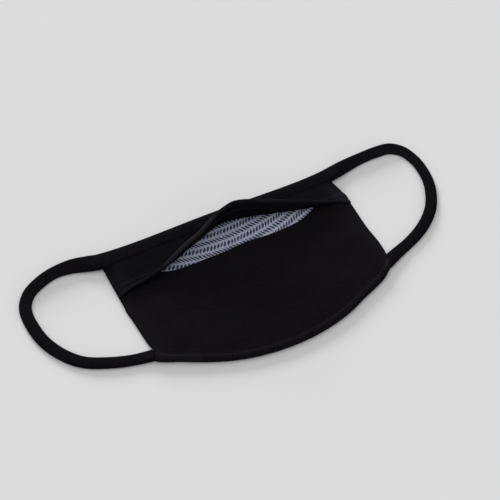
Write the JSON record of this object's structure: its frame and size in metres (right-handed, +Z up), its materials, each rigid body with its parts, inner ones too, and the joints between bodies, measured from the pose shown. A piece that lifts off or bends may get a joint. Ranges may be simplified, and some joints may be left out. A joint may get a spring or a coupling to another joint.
{
  "type": "cloth face mask",
  "caption": "Flat black jersey face mask with ear loops, lying wearer's side up, its inner pocket held open over a patterned layer.",
  "frame": {"origin": "middle of the mask's body, on the surface that it lies on", "axes": "+X along the mask, towards the right ear loop of the view with the nose edge away; +Y towards the nose edge; +Z up, the wearer's side"},
  "size_m": [0.3669, 0.1557, 0.0287],
  "materials": {
    "jersey": "matte fine jersey knit, black",
    "jersey_edging": "matte folded jersey, black, stitched along its inner edge",
    "jersey_strap": "matte tubular jersey strap, black",
    "printed_cotton": "plain-woven cotton, pale lavender with short slate-blue strokes and dots"
  },
  "bodies": {
    "root": {"outer_shell": "jersey", "printed_layer": "printed_cotton", "lower_lining": "jersey", "pocket_flap": "jersey", "nose_binding": "jersey_edging", "chin_hem": "jersey_edging", "ear_loop_left": "jersey_strap", "ear_loop_right": "jersey_strap"}
  },
  "joints": []
}
